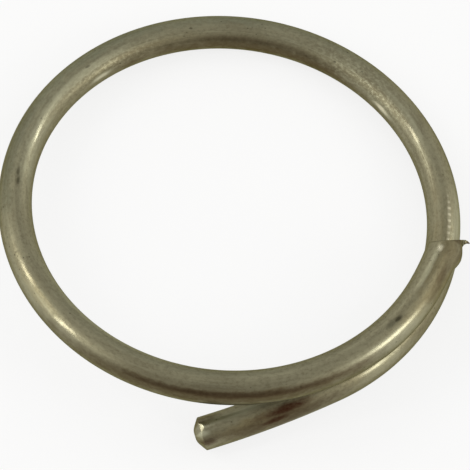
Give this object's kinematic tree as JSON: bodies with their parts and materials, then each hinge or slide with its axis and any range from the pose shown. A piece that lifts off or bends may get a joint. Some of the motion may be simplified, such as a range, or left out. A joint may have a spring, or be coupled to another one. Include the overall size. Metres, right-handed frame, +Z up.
{
  "type": "round-wire circlip",
  "caption": "Round-wire circlip: one drawn spring wire wound a little over one turn, its ends one above the other, with a blunt nose and a pinched cut with a burr.",
  "frame": {"origin": "centre of the bounding box's base, on the surface that the ring rests on", "axes": "+Z up, within four degrees of the ring's axis; +X to the side where the upper end is cut off; the lower end reaches out at -Y"},
  "size_m": [0.028, 0.029, 0.0049],
  "materials": {
    "spring_steel": "satin drawn wire with fine lengthwise lines, small pits and brown stains"
  },
  "bodies": {
    "root": {"circlip": "spring_steel"}
  },
  "joints": []
}
